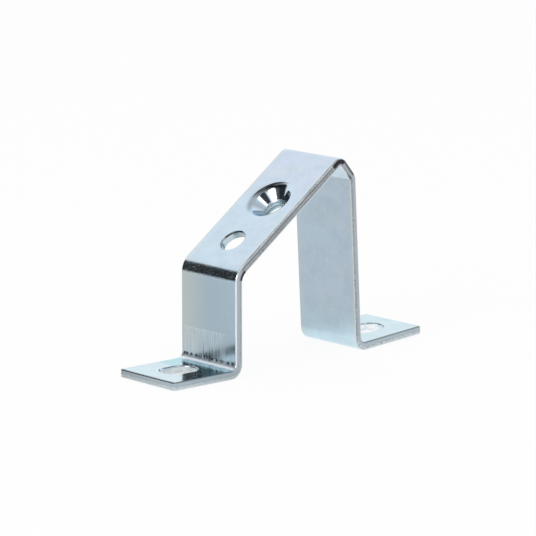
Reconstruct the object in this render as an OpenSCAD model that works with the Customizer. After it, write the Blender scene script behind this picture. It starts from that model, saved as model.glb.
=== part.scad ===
// Rail bracket: one punched and folded strip of steel that holds a mounting rail on a slope.
// The folds run along Y, X is the length, and the bracket stands on the heels of its two feet.

/* [Strip] */
// Width of the strip
strip_w = 20; // [18:0.5:30]
// Thickness of the sheet
sheet_t = 2; // [1.6:0.1:2.4]
// Radius that the punch rolls onto the outline of the upper face
edge_roll = 0.35; // [0.1:0.05:0.6]
// Radius of the blank's four corners, seen from above
blank_corner_r = 0.5; // [0.45:0.05:2]

/* [Feet] */
// Length of the short leg's foot, from its free end to the outer face of the leg
short_foot_l = 19.6; // [18.5:0.1:26]
// Length of the tall leg's foot, from its free end to the outer face of the leg
tall_foot_l = 21; // [18.5:0.1:26]
// Angle by which the short leg's foot rises to its free end when the bracket stands
short_toe_lift = 1; // [0:0.05:3]
// Angle by which the tall leg's foot rises to its free end when the bracket stands
tall_toe_lift = 3.05; // [0:0.05:5]

/* [Legs] */
// Length of the short leg, foot to slope, along its outer face
short_leg_l = 23.8; // [20:0.1:40]
// Angle of the fold between the short leg and its foot
short_foot_fold = 90.5; // [88:0.1:92]
// Angle of the fold between the tall leg and its foot
tall_foot_fold = 90.4; // [88:0.1:93]

/* [Slope] */
// Length of the slope, from the short leg to the peak
slope_l = 42.9; // [40:0.1:60]
// Angle of the slope above the ground
slope_rise = 35.05; // [25:0.05:45]
// Length of the short flat that falls from the peak to the tall leg
nose_l = 7.6; // [6.5:0.1:12]
// Angle of that flat below the ground line
nose_drop = 50.3; // [45:0.1:60]

/* [Folds] */
// Inside radius of the folds at the feet
foot_fold_r = 1.4; // [0.8:0.1:2.5]
// Inside radius of the fold from the short leg to the slope
knee_fold_r = 2.8; // [0.8:0.1:3.5]
// Inside radius of the fold at the peak
peak_fold_r = 0.4; // [0.2:0.1:1]
// Inside radius of the fold from the short flat to the tall leg
shoulder_fold_r = 1; // [0.4:0.1:2]

/* [Plain hole] */
// Radius of the plain hole
plain_hole_r = 3.2; // [2.5:0.1:4]
// Distance of the plain hole from the knee, up the slope
plain_hole_at = 9.8; // [8:0.1:12]

/* [Countersunk hole] */
// Distance of the countersunk hole from the knee, up the slope
sunk_hole_at = 24.7; // [22:0.1:28]
// Radius where the upper face starts to turn down into the countersink
sunk_rim_r = 6.4; // [6:0.1:7]
// Radius of the rolled rim itself
sunk_roll_r = 1.5; // [0.8:0.1:2]
// Angle between the axis and the wall of the countersink
sunk_half_angle = 45; // [42:1:48]
// Radius of the threaded neck inside its thread
neck_r = 2.5; // [2:0.1:3]
// Thickness of the metal drawn down around the countersink
drawn_wall = 1.4; // [1:0.1:1.6]
// Length that the neck stands out below the sheet
neck_drop = 3.2; // [3:0.1:5]
// Radius where the lower face turns down into the drawn wall
drawn_root_r = 1; // [0.4:0.1:1.5]
// Chamfer at the mouth of the neck
neck_chamfer = 0.3; // [0.1:0.05:0.5]

/* [Foot slots] */
// Width of the slot in each foot
slot_w = 7.6; // [5:0.1:8.5]
// Length of the slot, end to end, along the foot
slot_l = 10; // [9:0.1:11]
// Distance from the foot's free end to the middle of its slot
slot_at = 9.9; // [9.4:0.1:10.4]

/* [Hidden] */
$fn = 96;

// How far a cutter runs past the face that it opens
past = 1;
// Scale at which the flats and the folds are joined
join_scale = 0.01;

// The strip is walked from the free end of the short leg's foot to that of the tall leg's foot.
// Each flat is measured along its upper face, between the sharp corners of that face.
heading = [
    -short_toe_lift,
    short_foot_fold - short_toe_lift,
    slope_rise,
    -nose_drop,
    tall_toe_lift - tall_foot_fold,
    tall_toe_lift
];
fold_r = [foot_fold_r, knee_fold_r, peak_fold_r, shoulder_fold_r, foot_fold_r];
LAST = len(heading) - 1;
SLOPE = 2;

function along(angle) = [cos(angle), sin(angle)];
function normal(angle) = [-sin(angle), cos(angle)];

// The tall leg is as long as it must be for both heels to reach the ground.
first_l = [short_foot_l, short_leg_l, slope_l, nose_l];
function walked(i) = i == 0 ? [0, 0] : walked(i - 1) + first_l[i - 1] * along(heading[i - 1]);
function heel_rise(from, to) = foot_fold_r * (cos(from) + cos(to)) / (1 + cos(to - from));
tall_heel_rise = heel_rise(heading[LAST - 1], heading[LAST]);
short_heel_rise = heel_rise(heading[0], heading[1]);
tall_corner_z = walked(1).y + short_heel_rise - tall_heel_rise;
tall_leg_l = (walked(4).y - tall_corner_z) / sin(-heading[LAST - 1]);

flat_l = concat(first_l, [tall_leg_l, tall_foot_l]);
function corner(i) = i == 0 ? [0, 0] : corner(i - 1) + flat_l[i - 1] * along(heading[i - 1]);

// Origin on the ground, in the middle of the length and of the width
short_end = corner(0);
tall_end = corner(LAST + 1);
low_x = min(short_end.x, (short_end - sheet_t * normal(heading[0])).x);
high_x = max(tall_end.x, (tall_end - sheet_t * normal(heading[LAST])).x);
shift_x = -(low_x + high_x) / 2;
shift_z = foot_fold_r + sheet_t - (corner(1).y + short_heel_rise);

// Folds: fold i joins flat i to flat i + 1, and turns up where the upper face is the inside.
function turn(i) = heading[i + 1] - heading[i];
function upper_r(i) = fold_r[i] + (turn(i) > 0 ? 0 : sheet_t);
function fold_axis_z(i) = turn(i) > 0 ? fold_r[i] : -sheet_t - fold_r[i];
function setback(i) = i < 0 || i >= LAST ? 0 : upper_r(i) * tan(abs(turn(i)) / 2);

// Countersink: a line at the half angle, tangent to the rolled rim
wall_sin = sin(sunk_half_angle);
wall_cos = cos(sunk_half_angle);
rim_end_r = sunk_rim_r - sunk_roll_r * wall_cos;
rim_end_z = -sunk_roll_r * (1 - wall_sin);
neck_top_z = rim_end_z - (rim_end_r - neck_r) / tan(sunk_half_angle);
neck_end_z = -sheet_t - neck_drop;
neck_outer_r = neck_r + drawn_wall;
drawn_top_r = rim_end_r + (sheet_t + rim_end_z) * -tan(sunk_half_angle) + drawn_wall / wall_cos;
drawn_end_z = -sheet_t - (drawn_top_r - neck_outer_r) / tan(sunk_half_angle);
root_tangent = drawn_root_r * tan((90 - sunk_half_angle) / 2);

// Section of the strip: x across its width, y = 0 on the upper face
module strip_section() {
    difference() {
        translate([-strip_w / 2, -sheet_t]) square([strip_w, sheet_t]);
        for (side = [-1, 1]) {
            translate([side * strip_w / 2, 0]) mirror([side < 0 ? 1 : 0, 0]) rolled_corner();
        }
    }
}

// What a rolled edge leaves out of a square corner at the origin, with the metal at -x and -y
module rolled_corner() {
    difference() {
        translate([-edge_roll, -edge_roll]) square(edge_roll + past);
        translate([-edge_roll, -edge_roll]) circle(r = edge_roll);
        translate([-edge_roll, -edge_roll]) rotate(180) square(past);
    }
}

// Places its children on flat i, at a distance s from the flat's sharp corner
module on_flat(i, s) {
    if (i == 0) {
        translate([shift_x, 0, shift_z]) rotate([0, -heading[0], 0])
            translate([s, 0, 0]) children();
    } else {
        on_flat(i - 1, flat_l[i - 1] - setback(i - 1)) past_fold(i - 1)
            translate([s - setback(i - 1), 0, 0]) children();
    }
}

// Turns its children round the axis of fold i, from the fold's start to its end
module past_fold(i) {
    translate([0, 0, fold_axis_z(i)]) rotate([0, -turn(i), 0])
        translate([0, 0, -fold_axis_z(i)]) children();
}

module flat_run(i) {
    on_flat(i, setback(i - 1)) rotate([90, 0, 90])
        linear_extrude(flat_l[i] - setback(i - 1) - setback(i)) strip_section();
}

// A ring about the fold's axis, kept from the end of flat i to the start of the next flat
module fold(i) {
    on_flat(i, flat_l[i] - setback(i)) intersection() {
        if (turn(i) > 0) {
            translate([0, 0, fold_axis_z(i)]) rotate([90, 0, 0])
                rotate_extrude() translate([fold_r[i], 0]) rotate(90) strip_section();
        } else {
            translate([0, 0, fold_axis_z(i)]) rotate([90, 0, 0])
                rotate_extrude() translate([fold_r[i] + sheet_t, 0]) rotate(-90) strip_section();
        }
        beyond();
        past_fold(i) mirror([1, 0, 0]) beyond();
    }
}

// All that lies at +X
module beyond() {
    reach = 2 * strip_w;
    translate([0, -reach / 2, -reach / 2]) cube(reach);
}

// What trims a free end: the end's own rolled edge, and the two rounded corners of the blank
module end_trim() {
    rotate([90, 0, 0]) translate([0, 0, -strip_w / 2 - past])
        linear_extrude(strip_w + 2 * past) mirror([1, 0]) rolled_corner();
    for (side = [-1, 1]) {
        translate([blank_corner_r, side * (strip_w / 2 - blank_corner_r), 0])
            mirror([0, side < 0 ? 1 : 0, 0]) blank_corner();
    }
}

// A square corner less its round, with the round's rolled edge
module blank_corner() {
    difference() {
        translate([-blank_corner_r - past, 0, -sheet_t - past])
            cube([blank_corner_r + past, blank_corner_r + past, sheet_t + 2 * past]);
        rotate_extrude() difference() {
            translate([0, -sheet_t - 2 * past]) square([blank_corner_r, sheet_t + 2 * past]);
            translate([blank_corner_r, 0]) rolled_corner();
        }
    }
}

// Half outline of a punched hole's cutter, rolled where it opens the upper face
module punched_profile(r) {
    translate([0, -sheet_t - past]) square([r, sheet_t + 2 * past]);
    translate([r, 0]) mirror([1, 0]) rolled_corner();
}

module plain_hole() {
    rotate_extrude() punched_profile(plain_hole_r);
}

module foot_slot() {
    reach = (slot_l - slot_w) / 2;
    for (side = [-1, 1]) {
        translate([side * reach, 0, 0]) rotate_extrude() punched_profile(slot_w / 2);
    }
    translate([-reach, 0, 0]) rotate([90, 0, 90]) linear_extrude(2 * reach) {
        punched_profile(slot_w / 2);
        mirror([1, 0]) punched_profile(slot_w / 2);
    }
}

// Metal drawn down around the countersink
module drawn_neck() {
    root_r = drawn_top_r + root_tangent;
    rotate_extrude() {
        polygon([
            [0, -sheet_t / 2],
            [drawn_top_r, -sheet_t / 2],
            [drawn_top_r, -sheet_t],
            [neck_outer_r, drawn_end_z],
            [neck_outer_r, neck_end_z],
            [0, neck_end_z]
        ]);
        difference() {
            polygon([
                [root_r, -sheet_t],
                [root_r, -sheet_t / 2],
                [drawn_top_r - root_tangent * wall_sin, -sheet_t / 2],
                [drawn_top_r - root_tangent * wall_sin, -sheet_t - root_tangent * wall_cos]
            ]);
            translate([root_r, -sheet_t - drawn_root_r]) circle(r = drawn_root_r);
        }
    }
}

// Cutter for the countersink and the threaded neck below it
module countersink() {
    rotate_extrude() {
        difference() {
            polygon([
                [0, past],
                [sunk_rim_r, past],
                [sunk_rim_r, 0],
                [rim_end_r, rim_end_z],
                [neck_r, neck_top_z],
                [neck_r, neck_end_z + neck_chamfer],
                [neck_r + neck_chamfer, neck_end_z],
                [neck_r + neck_chamfer, neck_end_z - past],
                [0, neck_end_z - past]
            ]);
            translate([sunk_rim_r, -sunk_roll_r]) circle(r = sunk_roll_r);
        }
    }
}

// Flats and folds in one piece. They are joined at a small scale and then brought back to size,
// because there the rounding of a turned corner is too small to part two faces that meet.
module folded_strip() {
    scale(1 / join_scale) {
        for (i = [0:LAST]) scale(join_scale) flat_run(i);
        for (i = [0:LAST - 1]) scale(join_scale) fold(i);
    }
}

module bracket() {
    color("lightsteelblue") difference() {
        union() {
            folded_strip();
            on_flat(SLOPE, sunk_hole_at) drawn_neck();
        }
        on_flat(0, 0) end_trim();
        on_flat(LAST, tall_foot_l) mirror([1, 0, 0]) end_trim();
        on_flat(0, slot_at) foot_slot();
        on_flat(LAST, tall_foot_l - slot_at) foot_slot();
        on_flat(SLOPE, plain_hole_at) plain_hole();
        on_flat(SLOPE, sunk_hole_at) countersink();
    }
}

bracket();
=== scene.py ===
# %% [markdown]
# A rail bracket, punched and folded from one strip of steel and plated with zinc.
# A press punches the flat blank, draws a countersunk and tapped neck into it and folds it five
# times. The zinc and a thin blue passivation come last. The lesson goes the same way: it lays
# out the blank with its edges and holes, folds it, and then finishes it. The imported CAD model
# is opened first, because it says how big everything is and where it stands.

import math

import bpy
import numpy as np
from mathutils import Matrix, Vector, noise
from mathutils.bvhtree import BVHTree
from mathutils.geometry import delaunay_2d_cdt


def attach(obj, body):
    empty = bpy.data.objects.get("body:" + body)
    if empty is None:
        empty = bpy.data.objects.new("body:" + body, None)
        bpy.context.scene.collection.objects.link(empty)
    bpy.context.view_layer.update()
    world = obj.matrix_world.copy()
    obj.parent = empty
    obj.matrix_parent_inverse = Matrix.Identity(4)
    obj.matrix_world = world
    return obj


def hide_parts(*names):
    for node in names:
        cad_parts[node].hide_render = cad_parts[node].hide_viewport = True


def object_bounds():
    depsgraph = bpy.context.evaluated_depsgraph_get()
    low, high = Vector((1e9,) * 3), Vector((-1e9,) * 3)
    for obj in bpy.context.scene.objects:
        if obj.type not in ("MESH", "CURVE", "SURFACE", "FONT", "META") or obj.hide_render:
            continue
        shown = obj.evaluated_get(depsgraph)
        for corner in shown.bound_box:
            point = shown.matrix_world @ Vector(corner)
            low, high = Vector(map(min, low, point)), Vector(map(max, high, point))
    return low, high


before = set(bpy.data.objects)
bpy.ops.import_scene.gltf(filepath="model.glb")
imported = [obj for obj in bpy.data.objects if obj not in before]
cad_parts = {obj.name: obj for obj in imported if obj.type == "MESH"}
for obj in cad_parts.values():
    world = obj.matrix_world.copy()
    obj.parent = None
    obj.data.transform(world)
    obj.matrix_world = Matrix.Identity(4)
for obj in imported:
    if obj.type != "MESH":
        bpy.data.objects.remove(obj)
cad_low, cad_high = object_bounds()
cad_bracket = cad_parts["bracket"]
cad_size = [round(side * 1000, 2) for side in cad_high - cad_low]
print("the CAD bracket measures", cad_size, "mm and has", len(cad_bracket.data.polygons), "faces")

# %% [markdown]
# A folded strip is easiest to think of in its own terms: the lengths of its flats, the angle of
# each flat above the ground and the inside radius of each fold. These are the sizes that a press
# brake operator would be given. They are in millimetres here and become metres at the end, when
# the mesh is made.

# %% Sizes of the strip
MM = 0.001
strip_w = 20.0
sheet_t = 2.0
edge_roll = 0.35
blank_corner_r = 0.5

short_foot_l = 19.6
short_leg_l = 23.8
slope_l = 42.9
nose_l = 7.6
tall_foot_l = 21.0

short_toe_lift = 1.0
short_foot_fold = 90.5
slope_rise = 35.05
nose_drop = 50.3
tall_foot_fold = 90.4
tall_toe_lift = 3.05

foot_fold_r = 1.4
knee_fold_r = 2.8
peak_fold_r = 0.4
shoulder_fold_r = 1.0

heading = np.radians([
    -short_toe_lift,
    short_foot_fold - short_toe_lift,
    slope_rise,
    -nose_drop,
    tall_toe_lift - tall_foot_fold,
    tall_toe_lift,
])
turn = np.diff(heading)
fold_r = np.array([foot_fold_r, knee_fold_r, peak_fold_r, shoulder_fold_r, foot_fold_r])
print("the strip turns by", np.degrees(turn).round(1), "degrees at its folds")

# %% [markdown]
# The tall leg isn't given a length. It is as long as it has to be for both heels to reach the
# ground, so it is worked out from the rest. Each flat is measured along its upper face, between
# the sharp corners that the face would have with no fold radius.


# %% Walk along the strip
def along(angle):
    return np.array([np.cos(angle), np.sin(angle)])


def up_from(angle):
    return np.array([-np.sin(angle), np.cos(angle)])


def heel_rise(before, after):
    """Height of a foot fold's lowest point below the sharp corner, less the sheet's thickness."""
    return foot_fold_r * (math.cos(before) + math.cos(after)) / (1 + math.cos(after - before))


flat_l = [short_foot_l, short_leg_l, slope_l, nose_l]
reached = sum(length * along(angle) for length, angle in zip(flat_l, heading))
short_heel = short_foot_l * along(heading[0])[1] + heel_rise(heading[0], heading[1])
tall_corner = short_heel - heel_rise(heading[4], heading[5])
tall_leg_l = (reached[1] - tall_corner) / math.sin(-heading[4])
flat_l += [tall_leg_l, tall_foot_l]

corner = [np.zeros(2)]
for length, angle in zip(flat_l, heading):
    corner.append(corner[-1] + length * along(angle))
low_x = min(corner[0][0], (corner[0] - sheet_t * up_from(heading[0]))[0])
high_x = max(corner[6][0], (corner[6] - sheet_t * up_from(heading[5]))[0])
shift = np.array([-(low_x + high_x) / 2, foot_fold_r + sheet_t - short_heel])
print("the tall leg is", round(tall_leg_l, 2), "mm, and the strip is", round(high_x - low_x, 2), "long")

# %% [markdown]
# Now the strip is unrolled in the mind. Every point of the bracket gets three blank coordinates:
# u along the strip, y across it and h above its upper face, so h is 0 on top and -2 underneath.
# A stretch is either a flat or a fold. In a fold u runs along the arc of the upper face, which is
# the inner arc where the strip turns up and the outer one where it turns down.


# %% Lay out the stretches
def setback(i):
    """How much of a flat the fold i takes away at the sharp corner."""
    if not 0 <= i < len(turn):
        return 0.0
    upper_r = fold_r[i] + (0 if turn[i] > 0 else sheet_t)
    return upper_r * math.tan(abs(turn[i]) / 2)


stretches = []
u_now = 0.0
for i, length in enumerate(flat_l):
    run = length - setback(i - 1) - setback(i)
    begin = corner[i] + shift + setback(i - 1) * along(heading[i])
    stretches.append({"kind": "flat", "u": u_now, "run": run, "begin": begin, "heading": heading[i]})
    u_now += run
    if i < len(turn):
        reach = fold_r[i] if turn[i] > 0 else -(fold_r[i] + sheet_t)
        begin = corner[i + 1] + shift - setback(i) * along(heading[i])
        axis = begin + reach * up_from(heading[i])
        run = abs(reach * turn[i])
        stretches.append({"kind": "fold", "u": u_now, "run": run, "heading": heading[i],
                          "axis": axis, "reach": reach, "turn": turn[i]})
        u_now += run
blank_l = u_now
starts = np.array([stretch["u"] for stretch in stretches])
FOOT_FOLD, LEG, KNEE, SLOPE, PEAK, NOSE, SHOULDER, TALL_LEG, TALL_FOLD, TALL_FOOT = starts[1:]
print("the flat blank is", round(blank_l, 2), "mm long, in", len(stretches), "stretches")

# %% [markdown]
# The next function folds any points of the blank. It turns their normals too, so that the
# mirror-like zinc gets exact shading instead of shading guessed from facets. A real fold has no
# sharp first line: the steel leaves its flat gently. The points stay where the CAD model has
# them, but the normals start to turn half a millimetre early, and the reflections bend softly.

# %% Fold the blank
fold_ease = 0.5
ease_steps = 9
knots = np.append(starts, blank_l)
knot_angles = np.repeat(heading, 2)


def eased_angle(u):
    """Heading of the face at u, averaged over the distance that a fold takes to begin."""
    window = np.linspace(-fold_ease, fold_ease, ease_steps)
    return np.mean([np.interp(u + step, knots, knot_angles) for step in window], axis=0)


def folded(blank, normals):
    """Points (u, y, h) and their normals, taken from the flat blank to the folded bracket."""
    points = np.empty_like(blank)
    turned_normals = np.empty_like(normals)
    which = np.clip(np.searchsorted(starts, blank[:, 0], side="right") - 1, 0, len(starts) - 1)
    for number, stretch in enumerate(stretches):
        here = which == number
        u = blank[here, 0] - stretch["u"]
        h = blank[here, 2]
        if stretch["kind"] == "flat":
            angle = stretch["heading"]
            xz = stretch["begin"][:, None] + u * along(angle)[:, None] + h * up_from(angle)[:, None]
        else:
            angle = stretch["heading"] + u / stretch["run"] * stretch["turn"]
            xz = stretch["axis"][:, None] - (stretch["reach"] - h) * up_from(angle)
        points[here] = np.column_stack([xz[0], blank[here, 1], xz[1]])
        angle = eased_angle(blank[here, 0])
        lean = along(angle) * normals[here, 0] + up_from(angle) * normals[here, 2]
        turned_normals[here] = np.column_stack([lean[0], normals[here, 1], lean[1]])
    return points, turned_normals


print("the shading of each fold starts", fold_ease, "mm before the fold")

# %% [markdown]
# A mesh is points, faces and, for sharp reflections, one normal for each corner of each face.
# The helpers below collect them. A wall is a grid of points in rows that go round an outline, and
# its normals come from the grid itself. Where a wall leaves a flat face smoothly, its first row
# takes that face's normal.

# %% Collect points, faces and normals
blank_points = []
point_number = {}
faces = []
corner_normals = []
finish_of_face = []
SHEET, CUT, CONE, THREAD = range(4)
UP = np.array([0.0, 0.0, 1.0])


def point(u, y, h):
    """The number of the point at (u, y, h). Faces that meet there share it."""
    key = (round(float(u), 5), round(float(y), 5), round(float(h), 5))
    if key not in point_number:
        point_number[key] = len(blank_points)
        blank_points.append((float(u), float(y), float(h)))
    return point_number[key]


def grid_normals(grid):
    """Normals of a closed grid, rows downwards and columns round with the metal on the left."""
    down = np.gradient(grid, axis=0)
    around = np.roll(grid, -1, axis=1) - np.roll(grid, 1, axis=1)
    normals = np.cross(down, around)
    return normals / np.linalg.norm(normals, axis=2, keepdims=True)


def add_wall(grid, finish, first=None, last=None):
    """Quads between the rows of a closed grid. first and last are normals given to those rows."""
    normals = grid_normals(grid)
    if first is not None:
        normals[0] = first
    if last is not None:
        normals[-1] = last
    numbers = [[point(*p) for p in row] for row in grid]
    around = len(numbers[0])
    for r in range(len(grid) - 1):
        for k in range(around):
            n = (k + 1) % around
            faces.append((numbers[r][k], numbers[r + 1][k], numbers[r + 1][n], numbers[r][n]))
            corner_normals.extend([normals[r, k], normals[r + 1, k], normals[r + 1, n], normals[r, n]])
            finish_of_face.append(finish)


print("the mesh can be collected now")

# %% [markdown]
# The punch leaves three bands on a cut edge. The metal first rolls over in a small round at the
# upper face, then there is a smooth burnished band, and below it the sheet breaks and leaves a
# rough band that leans in a little. One function makes all of them, round the blank and in the
# slots and the plain hole. It takes an outline as points with their outward directions.

# %% The cut edge's section
burnish_depth = 1.15
break_lean = 0.05
break_rough = 0.02
roll_steps = 6
break_depths = [burnish_depth + 0.12, 1.5, 1.75, sheet_t - 0.05, sheet_t]
break_shares = [0.5, 0.8, 1.0, 1.0, 1.0]
roll_angles = np.linspace(0, np.pi / 2, roll_steps + 1)
cut_depth = [*(edge_roll * (1 - np.cos(roll_angles))), 0.75, burnish_depth, *break_depths]
cut_inset = [*(edge_roll * (1 - np.sin(roll_angles))), 0, 0]
cut_inset += [share * break_lean for share in break_shares]


def cut_edge(outline, outward):
    """Wall of a punched outline. Its first row lies on the upper face, its last on the lower."""
    rows = []
    for inset, depth in zip(cut_inset, cut_depth):
        row = np.column_stack([outline - inset * outward, np.full(len(outline), -depth)])
        if burnish_depth < depth < sheet_t:
            for k, (u, y, _) in enumerate(row):
                roughness = abs(noise.noise(Vector((u * 1.9, y * 1.9, depth * 2.5))))
                row[k, :2] -= roughness * break_rough * outward[k]
        rows.append(row)
    grid = np.array(rows)
    add_wall(grid, CUT, first=UP)
    return grid[0, :, :2], grid[-1, :, :2]


print("a cut edge has", len(cut_depth), "rows over", sheet_t, "mm")

# %% [markdown]
# The blank's outline is a long rectangle with slightly rounded corners. Its long sides carry
# a point at every small step of each fold, because the faces bend there. A fold can be drawn
# finely at little cost this way: the flats need no more points than their edges give them.

# %% Stations along the long sides
fold_step = math.radians(2.5)
side_step = 0.25


def near_fold(u):
    """True where the easing of a fold reaches into the flat beside it."""
    return np.abs(knots[1:-1] - u).min() < fold_ease + side_step


def side_stations():
    """Places along the blank where the long sides have a point, and those inside the folds."""
    places = []
    bends = []
    for stretch in stretches:
        low, high = stretch["u"], stretch["u"] + stretch["run"]
        if stretch["kind"] == "fold":
            count = math.ceil(abs(stretch["turn"]) / fold_step)
            bends.extend(np.linspace(low, high, count + 1))
        else:
            low = max(low, blank_corner_r)
            high = min(high, blank_l - blank_corner_r)
            count = math.ceil((high - low) / side_step)
            bends.extend(u for u in np.linspace(low, high, count + 1) if near_fold(u))
        places.extend(np.linspace(low, high, count + 1)[:-1])
    places.append(blank_l - blank_corner_r)
    return np.array(places), np.array(bends)


stations, bend_stations = side_stations()
print(len(stations), "stations on a side,", len(bend_stations), "of them in or beside the folds")

# %% [markdown]
# The outline goes once round the blank with the metal on its left: one long side, a corner, an
# end, and so on. Each point carries the direction that points straight out of the metal.

# %% The blank's outline
half_w = strip_w / 2
end_points = 46
corner_steps = 8
near_end, far_end = blank_corner_r, blank_l - blank_corner_r
low_row, high_row = -half_w + blank_corner_r, half_w - blank_corner_r
end_rows = np.linspace(low_row, high_row, end_points)
corner_angles = np.linspace(0, np.pi / 2, corner_steps + 1)[1:-1]

outline = []
outward = []


def outline_side(us, ys, direction):
    for u, y in zip(us, ys):
        outline.append((u, y))
        outward.append(direction)


def outline_corner(u, y, first_angle):
    for angle in first_angle + corner_angles:
        direction = (math.cos(angle), math.sin(angle))
        outline.append((u + blank_corner_r * direction[0], y + blank_corner_r * direction[1]))
        outward.append(direction)


outline_side(stations, np.full(len(stations), -half_w), (0, -1))
outline_corner(far_end, low_row, -np.pi / 2)
outline_side(np.full(len(end_rows), blank_l), end_rows, (1, 0))
outline_corner(far_end, high_row, 0)
outline_side(stations[::-1], np.full(len(stations), half_w), (0, 1))
outline_corner(near_end, high_row, np.pi / 2)
outline_side(np.zeros(len(end_rows)), end_rows[::-1], (-1, 0))
outline_corner(near_end, low_row, np.pi)

blank_top, blank_foot = cut_edge(np.array(outline), np.array(outward, float))
print("the outline has", len(outline), "points")

# %% [markdown]
# A slot is two half circles joined by straight sides, and a round hole is a slot with no straight
# side, so one function draws both. The points run clockwise, which keeps the metal on their left
# as it is on the outline.

# %% The slots and the plain hole
slot_w = 7.6
slot_l = 10.0
slot_at = 9.9
plain_hole_r = 3.2
plain_hole_at = 9.8
ROUND = 180


def on_flat(i, s):
    """u of the place at a distance s from the sharp corner where flat i begins."""
    return stretches[2 * i]["u"] + s - setback(i - 1)


def stadium(centre, reach, r):
    """Outline of a slot, clockwise, and the directions from the metal into the opening."""
    angles = -np.arange(ROUND) * 2 * np.pi / ROUND - np.pi / ROUND
    ring = np.column_stack([np.cos(angles), np.sin(angles)])
    side = np.where(ring[:, 0] > 0, reach, -reach)
    return np.column_stack([centre + side + r * ring[:, 0], r * ring[:, 1]]), -ring


slot_reach = (slot_l - slot_w) / 2
plain_hole_u = on_flat(2, plain_hole_at)
openings = [
    (on_flat(0, slot_at), slot_reach, slot_w / 2),
    (plain_hole_u, 0.0, plain_hole_r),
    (on_flat(5, tall_foot_l - slot_at), slot_reach, slot_w / 2),
]
top_rings = []
foot_rings = []
for centre, reach, r in openings:
    top, foot = cut_edge(*stadium(centre, reach, r))
    top_rings.append(top)
    foot_rings.append(foot)
print("two slots and a plain hole are punched at u =", [round(o[0], 1) for o in openings])

# %% [markdown]
# The countersunk hole is drawn, not drilled: the sheet itself is pushed down round a cone, so it
# has a soft rolled rim above and a collar of metal below. A lathe is the right tool for this, as
# the whole form turns about one axis. First come its sizes, and the radii and depths that follow
# from them.

# %% Section of the countersink
sunk_hole_at = 24.7
sunk_rim_r = 6.4
sunk_roll_r = 1.5
sunk_half_angle = math.radians(45)
neck_r = 2.5
neck_drop = 3.2
neck_chamfer = 0.3
drawn_wall = 1.4
drawn_root_r = 1.0

sunk_u = on_flat(2, sunk_hole_at)
wall_angle = np.pi / 2 - sunk_half_angle
rim_end_r = sunk_rim_r - sunk_roll_r * math.cos(sunk_half_angle)
rim_end = sunk_roll_r * (1 - math.sin(sunk_half_angle))
neck_top = rim_end + (rim_end_r - neck_r) / math.tan(sunk_half_angle)
neck_end = sheet_t + neck_drop
collar_r = neck_r + drawn_wall
drawn_top_r = rim_end_r - (sheet_t - rim_end) * math.tan(sunk_half_angle)
drawn_top_r += drawn_wall / math.cos(sunk_half_angle)
collar_top = sheet_t + (drawn_top_r - collar_r) / math.tan(sunk_half_angle)
root_r = drawn_top_r + drawn_root_r * math.tan(wall_angle / 2)

round_angles = -np.arange(ROUND) * 2 * np.pi / ROUND


def turned(depths, radii):
    """Grid of a turned surface about the countersunk hole's axis, rows at these depths."""
    radii = np.broadcast_to(np.asarray(radii, float).T, (ROUND, len(depths))).T
    u = sunk_u + radii * np.cos(round_angles)
    y = radii * np.sin(round_angles)
    h = -np.asarray(depths, float)[:, None] * np.ones(ROUND)
    return np.dstack([u, y, h])


print("the cone ends", round(neck_top, 2), "mm down, and the neck", round(neck_end, 2), "mm down")

# %% [markdown]
# Round a drawn hole the sheet sags a little before it rolls over the rim. It is less than a tenth
# of a millimetre, but in a mirror it shows: reflections reach the rim softly, without a line. The
# sag grows with the third power of the distance, so its own start can't be seen. The roll then
# takes over at the angle that the sag has reached, and ends at the angle of the cone.

# %% Turn the rim and the cone
sag_r = 8.0
sag = 0.08
sag_steps = 8
roll_rows = 12
cone_rows = 8
thread_r = 3.0

sag_radii = np.linspace(sag_r, sunk_rim_r, sag_steps + 1)
sag_depths = sag * ((sag_r - sag_radii) / (sag_r - sunk_rim_r)) ** 3
sag_angle = math.atan(3 * sag / (sag_r - sunk_rim_r))
inwards = -math.sin(sag_angle) * np.column_stack([np.cos(round_angles), np.sin(round_angles)])
at_rim = np.column_stack([inwards, np.full(ROUND, math.cos(sag_angle))])
add_wall(turned(sag_depths, sag_radii), SHEET, first=UP, last=at_rim)

sag_roll_r = (sunk_rim_r - rim_end_r + sag - rim_end) / (
    math.sin(wall_angle) - math.sin(sag_angle) - math.cos(sag_angle) + math.cos(wall_angle))
roll = np.linspace(sag_angle, wall_angle, roll_rows + 1)
rim_radii = list(sunk_rim_r - sag_roll_r * (np.sin(roll) - math.sin(sag_angle)))
rim_depths = list(sag + sag_roll_r * (math.cos(sag_angle) - np.cos(roll)))
cone_end = neck_top - (thread_r - neck_r)
cone_depths = list(np.linspace(rim_depths[-1], cone_end, cone_rows + 1)[1:])
cone_radii = [rim_end_r - (d - rim_end) * math.tan(sunk_half_angle) for d in cone_depths]
add_wall(turned(rim_depths + cone_depths, rim_radii + cone_radii), CONE, first=at_rim)
print("lathe rows in the rim and the cone:", len(rim_depths) + len(cone_depths))

# %% [markdown]
# The neck is tapped for an M6 screw. A thread could be a screw modifier or a boolean, but the
# lathe's own rule is simpler and closes exactly: at each angle and depth the wall lies where the
# thread's helix has cut it, or where the plain wall is if that is wider. Crest and root are
# small flats, given as shares of the pitch.

# %% Cut the thread
thread_pitch = 1.0
thread_crest = 0.125
thread_root = 0.25
rows_per_turn = 24


def threaded(angle, depth, plain_r):
    """Radius of the wall at an angle and a depth, where the thread cuts wider than plain_r."""
    turns = (depth / thread_pitch + angle / (2 * np.pi)) % 1.0
    flank = (np.abs(turns - 0.5) * 2 - thread_crest) / (1 - thread_crest - thread_root)
    cut_r = thread_r - (thread_r - neck_r) * np.clip(flank, 0, 1)
    return np.maximum(plain_r, cut_r)


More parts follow.
